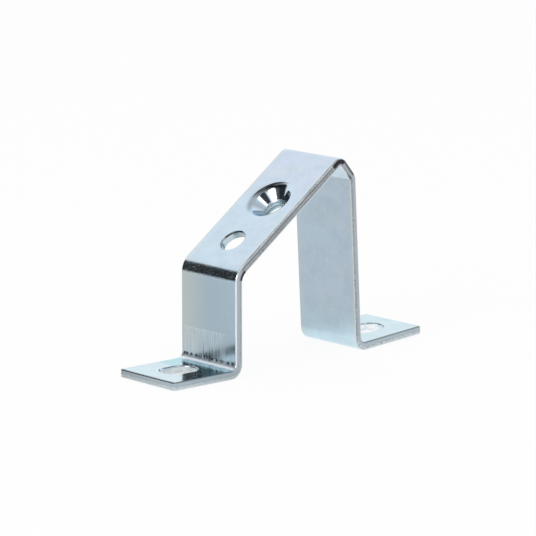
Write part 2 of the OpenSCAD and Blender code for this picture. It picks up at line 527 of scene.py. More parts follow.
thread_rows = math.ceil((neck_end - cone_end) / thread_pitch * rows_per_turn)
thread_depths = np.linspace(cone_end, neck_end, thread_rows + 1)
plain = np.maximum(neck_r, rim_end_r - (thread_depths - rim_end) * math.tan(sunk_half_angle))
plain = np.maximum(plain, neck_r + neck_chamfer - (neck_end - thread_depths))
thread_radii = threaded(round_angles[None, :], thread_depths[:, None], plain[:, None])
thread_radii[0] = cone_radii[-1]
add_wall(turned(thread_depths, thread_radii), THREAD)
print("lathe rows in the thread:", thread_rows)

# %% [markdown]
# Below the sheet the collar has a cut end with a small round at its outer edge. A wider round at
# its root leads back into the sheet's lower face. Two rows close to the root's corner keep the
# shading tight there.

# %% Turn the collar
lip_r = 0.2
lip_steps = 4
root_steps = 8
collar_margin = 0.1
corner_offsets = (0.04, 0.12)

lip = np.linspace(0, np.pi / 2, lip_steps + 1)
root = np.linspace(wall_angle, 0, root_steps + 1)
ring_outer = np.full(ROUND, collar_r - lip_r)
add_wall(turned([neck_end, neck_end], [thread_radii[-1], ring_outer]), CUT)

outer_radii = list(collar_r - lip_r + lip_r * np.sin(lip)) + [collar_r]
outer_depths = list(neck_end - lip_r * (1 - np.cos(lip))) + [collar_top + collar_margin]
for offset in corner_offsets:
    outer_radii.append(collar_r + offset)
    outer_depths.append(collar_top - offset)
outer_radii += list(root_r - drawn_root_r * np.sin(root))
outer_depths += list(sheet_t + drawn_root_r * (1 - np.cos(root)))
add_wall(turned(outer_depths, outer_radii), SHEET, last=-UP)
print("the collar stands", round(neck_end - sheet_t, 2), "mm below the sheet")

# %% [markdown]
# Only the two faces of the sheet are left. Each is a flat outline with holes in it, and a
# constrained triangulation fills it and keeps every edge that it is given. The lines across the
# strip at the fold stations are given too, so that no triangle spans a fold. Triangles that fall
# into an opening are left out.

# %% Fill one face
same_place = 1e-6
merge_distance = 1e-7
in_bend = {round(u, 6) for u in bend_stations}


def lines_across():
    """Pairs of outline points that face each other across the strip in or beside a fold."""
    sides = {}
    for k, (u, y) in enumerate(outline):
        if round(u, 6) in in_bend and abs(abs(y) - half_w) < same_place:
            sides.setdefault(round(u, 6), []).append(k)
    return [tuple(pair) for pair in sides.values() if len(pair) == 2]


def in_opening(middle, holes):
    return any(math.hypot(max(abs(middle[0] - c) - reach, 0), middle[1]) < r for c, reach, r in holes)


def fill_face(rim, rings, holes, depth, normal):
    """Triangles over one face of the sheet. holes are (centre, reach, radius) to leave open."""
    flat = [tuple(p) for p in rim]
    edges = [(k, (k + 1) % len(flat)) for k in range(len(flat))] + lines_across()
    for ring in rings:
        first = len(flat)
        flat += [tuple(p) for p in ring]
        edges += [(first + k, first + (k + 1) % len(ring)) for k in range(len(ring))]
    made = delaunay_2d_cdt([Vector(p) for p in flat], edges, [], 0, merge_distance)
    triangles, sources = made[2], made[3]
    count = 0
    for triangle in triangles:
        numbers = [sources[v][0] for v in triangle]
        if in_opening(np.mean([flat[n] for n in numbers], axis=0), holes):
            continue
        if normal[2] < 0:
            numbers.reverse()
        faces.append(tuple(point(*flat[n], -depth) for n in numbers))
        corner_normals.extend([normal] * 3)
        finish_of_face.append(SHEET)
        count += 1
    return count


print("lines across the strip at the folds:", len(lines_across()))

# %% [markdown]
# The upper face ends where the edges begin to roll over and where the sag begins. The lower one
# ends at the broken cut and at the collar's root. So the openings are wider than their bores.

# %% Fill the upper and the lower face
sunk_rim = turned([0.0], [sag_r])[0, :, :2]
sunk_root = turned([sheet_t], [root_r])[0, :, :2]
hole_top = [(c, reach, r + edge_roll) for c, reach, r in openings] + [(sunk_u, 0.0, sag_r)]
hole_foot = [(c, reach, r + break_lean) for c, reach, r in openings] + [(sunk_u, 0.0, root_r)]
upper_count = fill_face(blank_top, top_rings + [sunk_rim], hole_top, 0.0, UP)
lower_count = fill_face(blank_foot, foot_rings + [sunk_root], hole_foot, sheet_t, -UP)
print("triangles:", upper_count, "on the upper face,", lower_count, "on the lower")

# %% [markdown]
# Everything is folded in one go, and the mesh is made in metres. The blank coordinates are kept
# on it as an attribute. The finishes are laid out on the blank with them, as the rolling mill and
# the tools left them before the strip was folded.

# %% Make the bracket's mesh
blank = np.array(blank_points)
loops = np.array([v for face in faces for v in face])
normals = np.array(corner_normals, float)
corner_points, corner_turned = folded(blank[loops], normals)
world = np.empty_like(blank)
world[loops] = corner_points * MM

mesh = bpy.data.meshes.new("folded_bracket")
mesh.from_pydata(world.tolist(), [], faces)
mesh.polygons.foreach_set("use_smooth", [True] * len(faces))
mesh.polygons.foreach_set("material_index", finish_of_face)
blank_attribute = mesh.attributes.new("blank_mm", "FLOAT_VECTOR", "POINT")
blank_attribute.data.foreach_set("vector", blank.ravel())
mesh.update()
mesh.normals_split_custom_set([tuple(n) for n in corner_turned])
bracket = bpy.data.objects.new("folded_bracket", mesh)
bpy.context.scene.collection.objects.link(bracket)
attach(bracket, "root")
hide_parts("bracket")
print("the bracket's mesh has", len(world), "points and", len(faces), "faces")

# %% [markdown]
# Two measurements say whether the mesh can be trusted. Every edge should be used once in each
# direction, which means that the metal is closed. And every point should lie on the CAD bracket,
# but for the tenth of a millimetre of the sag. Only the thread, which the CAD model leaves out,
# stands off by more, by the depth of its cut.

# %% Measure the mesh
used = {}
for face in faces:
    for a, b in zip(face, face[1:] + face[:1]):
        used[(a, b)] = used.get((a, b), 0) + 1
open_edges = sum(1 for (a, b), times in used.items() if times != 1 or used.get((b, a), 0) != 1)
print(open_edges, "edges don't close")

tree = BVHTree.FromPolygons(
    [v.co for v in cad_bracket.data.vertices],
    [tuple(p.vertices) for p in cad_bracket.data.polygons],
)
gaps = np.array([tree.find_nearest(Vector(p))[3] for p in world]) / MM
in_thread = np.zeros(len(world), bool)
for face, finish in zip(faces, finish_of_face):
    if finish == THREAD:
        in_thread[list(face)] = True
print("farthest from the CAD bracket:", gaps[~in_thread].max().round(3), "mm,",
      "and in the thread", gaps[in_thread].max().round(3), "mm")

# %% [markdown]
# A finish is built in thin layers, as it came to be: a base colour, then each tint, stain and
# scratch on top of it. In Blender each layer is a few nodes. A small class keeps that readable,
# because a layer then is one line that says where it lies and what it does. Every method takes
# sockets, numbers or colours alike.


# %% Short ways to add nodes
class Nodes:
    """Adds nodes to one node tree."""

    def __init__(self, tree):
        self.tree = tree

    def node(self, kind, **settings):
        made = self.tree.nodes.new(kind)
        for key, value in settings.items():
            setattr(made, key, value)
        return made

    def put(self, value, target):
        """Links a socket to the input target, or writes a number or a colour into it."""
        if isinstance(value, bpy.types.NodeSocket):
            self.tree.links.new(value, target)
        elif isinstance(value, tuple):
            target.default_value = (*value, 1)
        else:
            target.default_value = value

    def combined(self, operation, first, *others):
        """The first value combined with each of the others in turn, by a Math operation."""
        for other in others:
            math_node = self.node("ShaderNodeMath", operation=operation)
            self.put(first, math_node.inputs[0])
            self.put(other, math_node.inputs[1])
            first = math_node.outputs[0]
        return first

    def times(self, *values):
        return self.combined("MULTIPLY", *values)

    def plus(self, *values):
        return self.combined("ADD", *values)

    def most(self, *values):
        return self.combined("MAXIMUM", *values)

    def size_of(self, value):
        """The value without its sign."""
        return self.combined("ABSOLUTE", value, 0)

    def spread(self, value, low, high, to_low=0, to_high=1, smooth=False):
        """Maps value from low..high to to_low..to_high, and clamps it."""
        remap = self.node("ShaderNodeMapRange")
        if smooth:
            remap.interpolation_type = "SMOOTHSTEP"
        remap.inputs["From Min"].default_value = low
        remap.inputs["From Max"].default_value = high
        remap.inputs["To Min"].default_value = to_low
        remap.inputs["To Max"].default_value = to_high
        self.put(value, remap.inputs["Value"])
        return remap.outputs["Result"]

    def band(self, value, low, high, soft):
        """1 where value lies between low and high, fading to 0 over a distance soft outside."""
        rising = self.spread(value, low - soft, low)
        falling = self.spread(value, high, high + soft, 1, 0)
        return self.times(rising, falling)

    def tinted(self, amount, base, tint):
        """Colour that goes from base to tint as amount goes from 0 to 1."""
        mix = self.node("ShaderNodeMix", data_type="RGBA")
        self.put(amount, mix.inputs["Factor"])
        self.put(base, mix.inputs[6])
        self.put(tint, mix.inputs[7])
        return mix.outputs[2]


print("the node helpers are ready")

# %% [markdown]
# All four finishes of the bracket are metal, and all are laid out in blank coordinates. This class
# adds what they share: the coordinates as sockets, noise over them, and a chain of bumps. Bump is
# enough for such shallow marks, as real relief would cost many more faces.


# %% A finish laid out on the blank
class Finish(Nodes):
    """A metal's material. It knows where each point lay on the flat blank, in millimetres."""

    def __init__(self, name):
        self.material = bpy.data.materials.new(name)
        self.material.use_nodes = True
        super().__init__(self.material.node_tree)
        self.shader = self.tree.nodes["Principled BSDF"]
        self.where = self.node("ShaderNodeAttribute", attribute_name="blank_mm").outputs["Vector"]
        split = self.node("ShaderNodeSeparateXYZ")
        self.put(self.where, split.inputs["Vector"])
        self.along_u, self.across_y, self.height = split.outputs

    def give(self, name, value):
        """Puts a value on the shader's own input of that name."""
        self.put(value, self.shader.inputs[name])

    def grain(self, scale, stretch=(1, 1, 1), detail=3.0, roughness=0.5):
        """Noise on the blank. scale is in features per millimetre, before it is stretched."""
        mapping = self.node("ShaderNodeMapping")
        mapping.inputs["Scale"].default_value = stretch
        self.put(self.where, mapping.inputs["Vector"])
        texture = self.node("ShaderNodeTexNoise")
        texture.inputs["Scale"].default_value = scale
        texture.inputs["Detail"].default_value = detail
        texture.inputs["Roughness"].default_value = roughness
        self.put(mapping.outputs["Vector"], texture.inputs["Vector"])
        return texture.outputs["Fac"]

    def bumped(self, *layers):
        """Chains bumps, each a (height socket, distance in metres, strength)."""
        normal = None
        for height, distance, strength in layers:
            bump = self.node("ShaderNodeBump")
            bump.inputs["Strength"].default_value = strength
            bump.inputs["Distance"].default_value = distance
            self.put(height, bump.inputs["Height"])
            if normal is not None:
                self.put(normal, bump.inputs["Normal"])
            normal = bump.outputs["Normal"]
        self.give("Normal", normal)

    def dress(self, piece):
        """Adds the material to a piece, in the order in which its faces count their finishes."""
        piece.data.materials.append(self.material)
        print(self.material.name, "is made of", len(self.tree.nodes), "nodes")


print("the finishes can be made now")

# %% [markdown]
# Bright zinc under a blue passivation mirrors the room softly, with a pale blue tint. It isn't
# even: the passivation is a film thinner than a wavelength, and its colour drifts with its
# thickness. A metallic Principled shader gives the mirror, and slow noise moves its colour a
# little towards pink. The upper face is pinker towards the peak.

# %% Blue and pink zinc
BLUE_ZINC = (0.60, 0.75, 0.855)
PINK_ZINC = (0.63, 0.70, 0.85)

sheet = Finish("blue_zinc")
on_top = sheet.spread(sheet.height, -1.2, -0.8)
drift = sheet.spread(sheet.grain(0.06), 0.4, 0.66, 0, 0.5)
tint = sheet.tinted(drift, BLUE_ZINC, PINK_ZINC)
to_peak = sheet.times(sheet.band(sheet.along_u, PEAK - 8, NOSE, 16), on_top, 0.8)
tint = sheet.tinted(to_peak, tint, PINK_ZINC)
print("the pink is full from u =", round(PEAK - 8, 1), "to", round(NOSE, 1), "mm")

# %% [markdown]
# The feet are greener, and here and there a straw-coloured patch shows where the film is thick.
# Each tint is a layer over the ones before it, as strong as its mask says. Blender's noise
# mostly stays between 0.3 and 0.7, so the two limits of a spread say how much of the face a
# layer covers: 0.56 to 0.75 keeps only the peaks of the noise, as a few patches.

# %% Green feet and straw patches
GREEN_ZINC = (0.575, 0.78, 0.87)
STRAW_ZINC = (0.70, 0.76, 0.74)

on_feet = sheet.most(
    sheet.spread(sheet.along_u, FOOT_FOLD - 6, LEG + 4, 1, 0),
    sheet.spread(sheet.along_u, TALL_FOLD - 9, TALL_FOOT),
)
tint = sheet.tinted(on_feet, tint, GREEN_ZINC)
patches = sheet.spread(sheet.grain(0.11, (1, 0.6, 1), 2), 0.56, 0.75, 0, 0.5)
tint = sheet.tinted(patches, tint, STRAW_ZINC)
print("the green fades out between u =", round(FOOT_FOLD - 6, 1), "and", round(LEG + 4, 1), "mm")

# %% [markdown]
# Handling and drying leave dull clouds a few millimetres wide, and finer pale marks among them.
# The film gathers in a straw line along both edges. The short leg is painted darker than the slope,
# a painted shade that dims its reflection, and turns to straw towards its left side.

# %% Dull clouds and pale marks
DULL_AND_SHADED_ZINC = (0.51, 0.65, 0.745)
PALE_MARK = (0.70, 0.80, 0.88)
edge_line_from = 8.7
edge_line_to = 9.6

clouds = sheet.spread(sheet.grain(0.24, detail=4), 0.4, 0.64, 0, 0.45)
tint = sheet.tinted(clouds, tint, DULL_AND_SHADED_ZINC)
marks = sheet.spread(sheet.grain(0.9, (0.8, 1, 1), 5, 0.65), 0.52, 0.7, 0, 0.5)
tint = sheet.tinted(marks, tint, PALE_MARK)
edge_line = sheet.spread(sheet.size_of(sheet.across_y), edge_line_from, edge_line_to, 0, 0.5)
tint = sheet.tinted(edge_line, tint, STRAW_ZINC)
# painted shade: the short leg's colour is darkened so that its reflection is dimmer
on_leg = sheet.band(sheet.along_u, LEG + 4, KNEE, 5)
tint = sheet.tinted(on_leg, tint, DULL_AND_SHADED_ZINC)
leg_side = sheet.times(on_leg, sheet.spread(sheet.across_y, 0, half_w - 1, 0, 0.8))
tint = sheet.tinted(leg_side, tint, STRAW_ZINC)
print("the straw line lies", round(half_w - edge_line_to, 1), "mm from each edge")

# %% [markdown]
# A deeper green-blue is painted in the corner before the short leg: a painted reflection of the
# darker leg above it. The bend beside it is painted pale, a painted highlight along the fold.

# %% Painted reflection in the corner and painted highlight on the bend
CORNER_REFLECTION_TEAL = (0.36, 0.67, 0.76)
BEND_HIGHLIGHT = (0.80, 0.87, 0.95)

painted_corner_reflection = sheet.times(sheet.band(sheet.along_u, FOOT_FOLD - 6, FOOT_FOLD, 1.5), on_top)
tint = sheet.tinted(painted_corner_reflection, tint, CORNER_REFLECTION_TEAL)
painted_bend_highlight = sheet.times(sheet.band(sheet.along_u, FOOT_FOLD + 0.3, LEG - 0.4, 0.3), on_top)
tint = sheet.tinted(painted_bend_highlight, tint, BEND_HIGHLIGHT)
# the pale bend is a painted highlight
print("the bend is worn over", round(LEG - FOOT_FOLD, 1), "mm")

# %% [markdown]
# The folding tool slid up the short leg and scraped it, in fine bright hairs that stop where the
# tool first touched. Noise stretched far along u makes such hairs: it changes quickly across the
# strip and hardly at all along it. A faint bright line marks the first touch.

# %% The scraped lines
SCRAPED = (0.80, 0.92, 0.97)
scrape_height = 6.8
scrape_rows = (-6.2, 9.0)
HAIR_STRETCH = (0.04, 2.6, 1)

scrape_top = LEG + scrape_height
scraped = sheet.times(
    sheet.band(sheet.along_u, LEG - 0.8, scrape_top, 0.15),
    sheet.band(sheet.across_y, *scrape_rows, 0.3),
    on_top,
)
hairs = sheet.times(sheet.spread(sheet.grain(1.0, HAIR_STRETCH, 3, 0.7), 0.5, 0.57), scraped)
touch_line = sheet.band(sheet.along_u, scrape_top - 0.3, scrape_top, 0.1)
first_touch = sheet.times(touch_line, scraped, 0.25)
tint = sheet.tinted(sheet.most(sheet.times(hairs, 0.85), first_touch), tint, SCRAPED)
print("the leg is scraped up to", scrape_height, "mm above its bend")

# %% [markdown]
# Dark streaks are painted in the scrapes and fade out upwards: a painted dark reflection. Oil left
# short black dashes where the leg leaves the bend. Both are stretched noise again, with coarser steps.

# %% Painted dark reflection streaks and dashes of oil
DARK_REFLECTION_STREAK = (0.13, 0.15, 0.17)
OIL_DASH = (0.04, 0.045, 0.05)

# painted dark reflection: streaks that fade out upwards from the bend
painted_reflection_streaks = sheet.times(
    sheet.spread(sheet.grain(1.0, (0.14, 2.3, 1), 2), 0.54, 0.61, 0, 0.75),
    sheet.band(sheet.along_u, LEG - 0.5, LEG + 0.8, 3.4),
    scraped,
    sheet.band(sheet.across_y, -6.0, 2.0, 4.0),
)
tint = sheet.tinted(painted_reflection_streaks, tint, DARK_REFLECTION_STREAK)
dashes = sheet.times(
    sheet.spread(sheet.grain(1.0, (0.2, 1.2, 1), 2), 0.44, 0.54, 0, 0.9),
    sheet.band(sheet.along_u, LEG - 0.3, LEG + 0.25, 0.15),
    on_top,
)
tint = sheet.tinted(dashes, tint, OIL_DASH)
sheet.give("Base Color", tint)
print("the dashes lie at u =", round(LEG, 1), "mm")

# %% [markdown]
# Two places aren't pure metal to the eye. The knee is scuffed, and each tiny scuff scatters light
# where the polished zinc round it mirrors something dark. And a haze of dust lies on one side of
# the foot's corner. A shader that is a little less metallic there scatters light in the same way.
# A paler colour or a rougher metal doesn't, because each still mirrors only what is dark.

# %% Scuffs on the knee and dust in the corner
scuffs = sheet.grain(1.5, (1.4, 1, 1), 4, 0.8)
on_knee = sheet.times(sheet.band(sheet.along_u, KNEE, SLOPE - 1, 0.6), on_top)
clusters = sheet.spread(sheet.grain(0.22), 0.4, 0.6, 0.5, 1)
nicks = sheet.times(sheet.spread(scuffs, 0.52, 0.68), on_knee, clusters)
haze = sheet.times(
    sheet.band(sheet.along_u, FOOT_FOLD - 7, LEG + 3, 1.5),
    sheet.spread(sheet.across_y, 3, -4),
    sheet.spread(sheet.along_u, FOOT_FOLD, LEG, 0.02, 0.2),
)
dusty = sheet.plus(sheet.times(haze, on_top), sheet.times(nicks, 0.27))
sheet.give("Metallic", sheet.spread(dusty, 0, 1, 1, 0))
print("the knee is scuffed between u =", round(KNEE, 1), "and", round(SLOPE - 1, 1), "mm")

# %% [markdown]
# The rolling mill leaves fine lines along the strip. They move the roughness and the bump by
# small amounts, so reflections streak a little. The scrapes and the bend are duller. A second
# bump, very slow and shallow, bends the reflections as rolled sheet does.

# %% Lines from the rolling mill
MILL_STRETCH = (0.12, 5, 1)

lines = sheet.grain(1.0, MILL_STRETCH, 4, 0.6)
rubbed = sheet.times(scraped, sheet.spread(hairs, 0, 1, 0.03, 0.16))
bent = sheet.times(sheet.band(sheet.along_u, FOOT_FOLD, LEG, 0.3), on_top, 0.2)
sheet.give("Roughness", sheet.plus(sheet.spread(lines, 0.3, 0.7, 0.11, 0.19), rubbed, bent))
sheet.bumped(
    (lines, 0.000004, 0.5),
    (sheet.grain(0.35, detail=1), 0.00003, 0.5),
    (sheet.times(scuffs, on_knee), 0.00002, 0.8),
)
sheet.dress(bracket)

# %% [markdown]
# The cut edge shows its two bands in colour too: the burnished steel is dark and smooth, and the
# broken one a little darker and rough. The line between them wanders, because a sheet doesn't
# break straight, so slow noise is added to the height before it is compared. On the feet the zinc
# lies thicker, and both bands are paler.

# %% The burnished and the broken band
break_wander = 0.2
BURNISHED = (0.43, 0.47, 0.51)
BROKEN = (0.39, 0.44, 0.47)
PALE_BURNISH = (0.44, 0.52, 0.57)
PALE_BREAK = (0.62, 0.70, 0.73)
DARK_STREAK_AND_SHADOW = (0.16, 0.16, 0.165)

cut = Finish("cut_zinc")
wander = cut.spread(cut.grain(0.8, (1, 1, 0)), 0.3, 0.7, -break_wander, break_wander)
break_height = cut.plus(cut.height, wander)
broken = cut.spread(break_height, -burnish_depth + 0.05, -burnish_depth - 0.15)
by_foot = cut.most(
    cut.spread(cut.along_u, FOOT_FOLD, LEG + 0.5, 1, 0),
    cut.spread(cut.along_u, TALL_FOLD - 1, TALL_FOOT - 1),
)
burnished_tint = cut.tinted(by_foot, BURNISHED, PALE_BURNISH)
broken_tint = cut.tinted(by_foot, BROKEN, PALE_BREAK)
cut_tint = cut.tinted(broken, burnished_tint, broken_tint)
# a thin painted shadow line on the feet's cut, where the break begins
break_shadow_line = cut.band(break_height, -burnish_depth - 0.02, -burnish_depth + 0.08, 0.06)
cut_tint = cut.tinted(cut.times(break_shadow_line, by_foot, 0.15), cut_tint, DARK_STREAK_AND_SHADOW)
print("the sheet breaks", burnish_depth, "mm down, give or take", break_wander, "mm")

# %% [markdown]
# The rolled edge above the bands is painted pale, a painted highlight, and on the feet it is painted
# dark, a painted dark reflection. Along the slope the tool was dull: it dragged dark streaks through
# the cut, and one darker streak runs just below the roll.

# %% The rolled edge's painted highlight and the streaks
ROLL_HIGHLIGHT = (0.78, 0.86, 0.92)
ROLL_DARK_REFLECTION = (0.24, 0.29, 0.32)

# painted highlight on the roll, weaker along the slope, and a painted dark reflection on the feet
mid_slope = cut.band(cut.along_u, SLOPE + 1, PEAK, 2)
rolled = cut.times(cut.spread(cut.height, -0.32, -0.26), cut.spread(mid_slope, 0, 1, 1, 0.35))
cut_tint = cut.tinted(rolled, cut_tint, cut.tinted(by_foot, ROLL_HIGHLIGHT, ROLL_DARK_REFLECTION))
on_slope = cut.band(cut.along_u, SLOPE, PEAK, 1.5)
streaks = cut.spread(cut.grain(1.0, (0.22, 0.22, 5), 4, 0.6), 0.42, 0.6)
streaks = cut.times(streaks, cut.spread(on_slope, 0, 1, 0.15, 0.65))
under_roll = cut.times(cut.band(cut.height, -0.85, -0.5, 0.12), on_slope, 0.75)
cut_tint = cut.tinted(cut.most(streaks, under_roll), cut_tint, DARK_STREAK_AND_SHADOW)
print("the tool was dull from u =", round(SLOPE, 1), "to", round(PEAK, 1), "mm")

# %% [markdown]
# In the broken band grains of steel have torn out and left dark specks, and one ragged blotch
# lies on the slope. A thin burr at the very bottom is pale again.

# %% Torn specks and the burr
DARK_SPECK = (0.13, 0.12, 0.11)
PALE_BURR = (0.66, 0.72, 0.76)
blotch_from = PEAK - 11.5
blotch_to = PEAK - 9.0

specks = cut.spread(cut.grain(3.2, (1, 1, 0.6), 3, 0.7), 0.54, 0.64)
blotch = cut.band(cut.along_u, blotch_from, blotch_to, 0.8)
past_knee = cut.spread(cut.along_u, KNEE, SLOPE, 0.3, 1)
torn = cut.times(cut.band(break_height, -1.75, -1.2, 0.1), past_knee)
ragged = cut.most(torn, blotch)
cut_tint = cut.tinted(cut.times(ragged, specks), cut_tint, DARK_SPECK)
cut_tint = cut.tinted(cut.spread(cut.height, -1.72, -1.85), cut_tint, PALE_BURR)
print("the blotch lies from u =", round(blotch_from, 1), "to", round(blotch_to, 1), "mm")

# %% [markdown]
# The cut is painted black round the peak, along the nose, at the shoulder and inside the knee: a
# painted dark reflection of the edge where the folds bent it. Each stretch is a box along u and h with
# soft sides.

# %% Painted dark reflections on the cut
BLACK_OIL_AND_REFLECTION = (0.03, 0.026, 0.03)


def painted_dark_stretch(places, heights, strength=1.0):
    """A stretch of the cut painted as a dark reflection. places and heights are (low, high, softness)
    along u and h.
    """
    return cut.times(cut.band(cut.along_u, *places), cut.band(cut.height, *heights), strength)


painted_dark_cut = cut.most(
    painted_dark_stretch((PEAK - 1.6, NOSE - 0.1, 0.2), (-1.3, -0.3, 0.15)),
    painted_dark_stretch((NOSE - 0.3, SHOULDER, 0.6), (-0.5, -0.25, 0.5), 0.85),
    painted_dark_stretch((SHOULDER - 0.4, SHOULDER + 0.4, 1.5), (-1.85, -1.6, 0.4), 0.8),
    painted_dark_stretch((KNEE + 1.0, SLOPE - 0.2, 0.6), (-2.1, -1.5, 0.5)),
)
cut_tint = cut.tinted(cut.times(painted_dark_cut, 0.97), cut_tint, BLACK_OIL_AND_REFLECTION)
# the painted dark reflection on the cut runs over these u
print("oil lies on the cut from u =", round(PEAK - 1.6, 1), "to", round(SHOULDER + 0.4, 1), "mm")

# %% [markdown]
# The walls of the holes are cut as well, and get colours of their own. Their mask is simple: a
# cut near the middle of the strip that isn't one of its ends. The slots' walls are painted nearly
# white with a bluish mottle, a painted reflection. The plain hole is darker, and a grey line runs
# round each upper rim.

# %% The walls of the holes
HOLE_WALL = (0.52, 0.64, 0.68)
SLOT_REFLECTION_WHITE = (0.90, 0.95, 0.96)
SLOT_REFLECTION_BLUE = (0.66, 0.77, 0.84)
RIM_LINE = (0.33, 0.39, 0.44)
rim_line_low = -0.3
rim_line_high = -0.06

in_hole = cut.times(
    cut.spread(cut.size_of(cut.across_y), 7.0, 8.0, 1, 0),
    cut.band(cut.along_u, 1, blank_l - 1, 1),
)
# painted reflection: a pale bluish mottle on the slots' walls
slot_reflection_mottle = cut.spread(cut.grain(0.55, (1, 1, 1.6), 3), 0.42, 0.62)
painted_slot_reflection = cut.tinted(slot_reflection_mottle, SLOT_REFLECTION_WHITE, SLOT_REFLECTION_BLUE)
cut_tint = cut.tinted(in_hole, cut_tint, cut.tinted(on_slope, painted_slot_reflection, HOLE_WALL))
rim_line = cut.times(cut.band(cut.height, rim_line_low, rim_line_high, 0.05), in_hole, 0.75)
cut_tint = cut.tinted(rim_line, cut_tint, RIM_LINE)
print("the grey line round a rim is", round(rim_line_high - rim_line_low, 2), "mm wide")

# %% [markdown]
# Oil also stayed on the upper rim of the plain hole, as a dark crescent on its far side. A
# crescent is where a slanted coordinate passes a limit. Then the cut gets its roughness and its
# bumps: the broken band is rougher, and the walls of the holes are smoother than both.

# %% The plain hole's dark rim and the cut's roughness
hole_aslant = cut.plus(cut.along_u, cut.times(cut.across_y, 0.7))
dark_rim = cut.times(
    cut.spread(hole_aslant, plain_hole_u + 2.0, plain_hole_u + 3.0, 0, 0.9),
    cut.band(cut.along_u, plain_hole_u, plain_hole_u + 2 * plain_hole_r, 1),
    in_hole,
    cut.band(cut.height, -0.4, -0.1, 0.08),
)
cut.give("Base Color", cut.tinted(dark_rim, cut_tint, BLACK_OIL_AND_REFLECTION))
cut.give("Metallic", 1.0)
outside = cut.spread(in_hole, 0, 1, 1, 0.3)
cut.give("Roughness", cut.times(cut.spread(broken, 0, 1, 0.2, 0.4), outside))
cut.bumped(
    (cut.grain(2.0, (2.5, 2.5, 0.15), 2), 0.00001, 0.4),
    (cut.times(cut.grain(4.0, (1, 1, 0.7), 4, 0.7), outside), 0.00002, 0.5),
    (cut.times(specks, ragged, outside), 0.00006, 0.8),
)
cut.dress(bracket)

# %% [markdown]
# The punch has polished the cone, so it is the smoothest place and mirrors the room in clear
# sectors. Its lower side is tinted blue. A painted dark reflection lies in the crescent of the rim
# that faces the peak, which again is a slanted coordinate past a limit.

# %% The drawn cone
CONE_ZINC = (0.59, 0.71, 0.82)
BLUED = (0.42, 0.62, 0.84)
RIM_DARK_REFLECTION = (0.05, 0.045, 0.045)

cone = Finish("drawn_zinc")
cone_tint = cone.tinted(cone.spread(cone.grain(0.5), 0.4, 0.6), CONE_ZINC, BLUE_ZINC)
from_axis = cone.combined("SUBTRACT", cone.along_u, sunk_u)
blued = cone.times(cone.spread(from_axis, -3.0, -4.5, 0, 0.9), cone.spread(cone.height, -0.2, -0.5))
cone_tint = cone.tinted(blued, cone_tint, BLUED)
# painted dark reflection in the crescent of the rim
rim_aslant = cone.plus(cone.times(from_axis, 0.8), cone.times(cone.across_y, 0.7))
painted_rim_reflection = cone.times(cone.spread(rim_aslant, 3.6, 5.5, 0, 0.9), cone.spread(cone.height, -1.0, -0.6))
cone.give("Base Color", cone.tinted(painted_rim_reflection, cone_tint, RIM_DARK_REFLECTION))
cone.give("Metallic", 1.0)
polish = cone.grain(2.0, detail=2)
cone.give("Roughness", cone.spread(polish, 0.3, 0.7, 0.07, 0.13))
cone.bumped((polish, 0.000006, 0.4))
cone.dress(bracket)

# %% [markdown]
# The thread was cut after drawing, and zinc fills it unevenly. It is duller than the rest, so that
# its turns read as soft grey rings and don't sparkle.

# %% The thread
THREAD_ZINC = (0.57, 0.67, 0.66)

thread = Finish("thread_zinc")
thread_mottle = thread.spread(thread.grain(1.2), 0.4, 0.6)
thread.give("Base Color", thread.tinted(thread_mottle, THREAD_ZINC, DULL_AND_SHADED_ZINC))
thread.give("Metallic", 1.0)
tool_marks = thread.grain(3.0, detail=2)
thread.give("Roughness", thread.spread(tool_marks, 0.3, 0.7, 0.36, 0.44))
thread.bumped((tool_marks, 0.000004, 0.3))
thread.dress(bracket)

# %% [markdown]
# The camera stands in front and to the left, a little above, far away and with a long lens, as
# for a catalogue picture. A direction from the bracket is given by an azimuth and an elevation,
# and the lamps and cards use the same helper later.

# %% Camera
view_azimuth = -42.502
view_elevation = 11.711
view_roll = -0.389
view_distance = 0.73945
view_target = Vector((-0.001259, 0.000871, 0.022612))
sensor = 36.0
focal_px = 3004.0
picture_px = 536


def direction_to(azimuth, elevation):
    """Direction from the bracket. Azimuth 0 is towards -Y and 90 towards +X, in degrees."""
    a, e = math.radians(azimuth), math.radians(elevation)
    return Vector((math.sin(a) * math.cos(e), -math.cos(a) * math.cos(e), math.sin(e)))


back = direction_to(view_azimuth, view_elevation)
camera = bpy.data.objects.new("camera", bpy.data.cameras.new("camera"))
bpy.context.scene.collection.objects.link(camera)
camera.data.sensor_width = sensor
camera.data.lens = focal_px / picture_px * sensor
level = back.to_track_quat("Z", "Y").to_matrix()
rolled_camera = level @ Matrix.Rotation(math.radians(view_roll), 3, "Z")
camera.matrix_world = Matrix.Translation(view_target + back * view_distance) @ rolled_camera.to_4x4()
camera.data.clip_start = 0.01
camera.data.clip_end = 50
bpy.context.scene.camera = camera
bpy.context.scene.view_settings.view_transform = "Standard"
print("lens", round(camera.data.lens, 1), "mm at", round(view_distance, 3), "m")

# %% [markdown]
# The set is a floor, a room and some cards. Three things are needed more than once: a test for
# the rays that see a surface rather than carry light, a mix of two shaders, and a flat rectangle
# with a material of its own.


# %% Helpers for the set
def seen_directly(nodes):
    """1 for camera, glossy and transmission rays, and 0 for light."""
    path = nodes.node("ShaderNodeLightPath").outputs
    return nodes.most(path["Is Camera Ray"], path["Is Glossy Ray"], path["Is Transmission Ray"])


def show_mix(nodes, share, first, second):
    """Shows the shader node first where share is 0, and second where it is 1."""
    mix = nodes.node("ShaderNodeMixShader")
    nodes.put(share, mix.inputs[0])
    nodes.put(first.outputs[0], mix.inputs[1])
    nodes.put(second.outputs[0], mix.inputs[2])
    nodes.put(mix.outputs[0], nodes.tree.nodes["Material Output"].inputs["Surface"])


